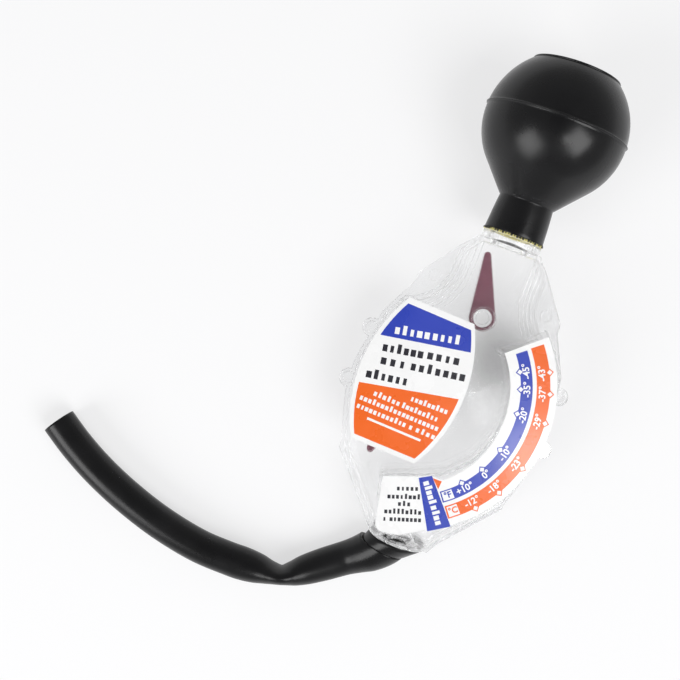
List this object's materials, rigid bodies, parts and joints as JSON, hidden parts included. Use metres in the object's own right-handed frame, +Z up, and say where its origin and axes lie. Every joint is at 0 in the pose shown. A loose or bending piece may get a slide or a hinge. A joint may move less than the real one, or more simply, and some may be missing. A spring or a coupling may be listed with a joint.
{
  "type": "antifreeze hydrometer",
  "caption": "Dial coolant tester: black squeeze bulb, clear flat housing with a float pointer, level needle and curved scale, and a black pickup hose.",
  "frame": {"origin": "middle of the footprint at the table, without the hose, as the tester lies on its back", "axes": "+Z up from the table, +Y along the tester from the hose end to the bulb, +X to the right seen from the front of the dial"},
  "size_m": [0.1865, 0.2275, 0.0558],
  "materials": {
    "clear_plastic": "clear, polished, injection moulded",
    "black_rubber": "satin",
    "seal_rubber": "matte",
    "maroon_plastic": "smooth",
    "weight_metal": "plain",
    "pin_steel": "plain",
    "label_vinyl": "glossy print"
  },
  "bodies": {
    "housing": {"front_shell": "clear_plastic", "rear_shell": "clear_plastic", "squeeze_bulb": "black_rubber", "neck_seal": "seal_rubber", "hose_cuff": "black_rubber", "pickup_hose": "black_rubber", "pointer_axle": "pin_steel", "front_label": "label_vinyl", "scale_label": "label_vinyl"},
    "pointer": {"float_pointer": "maroon_plastic", "pointer_weight": "weight_metal"},
    "needle": {"level_needle": "maroon_plastic"}
  },
  "joints": [
    {"name": "pointer_turn", "type": "hinge", "parent": "housing", "child": "pointer", "pos_m": [-0.0166, -0.034, 0.01702], "axis": [0, -0.0987, 0.9951], "range_deg": [-6, 136]},
    {"name": "needle_turn", "type": "hinge", "parent": "housing", "child": "needle", "pos_m": [0, -0.00066, 0.02033], "axis": [0, -0.0987, 0.9951], "range_deg": [-46, 14]}
  ]
}
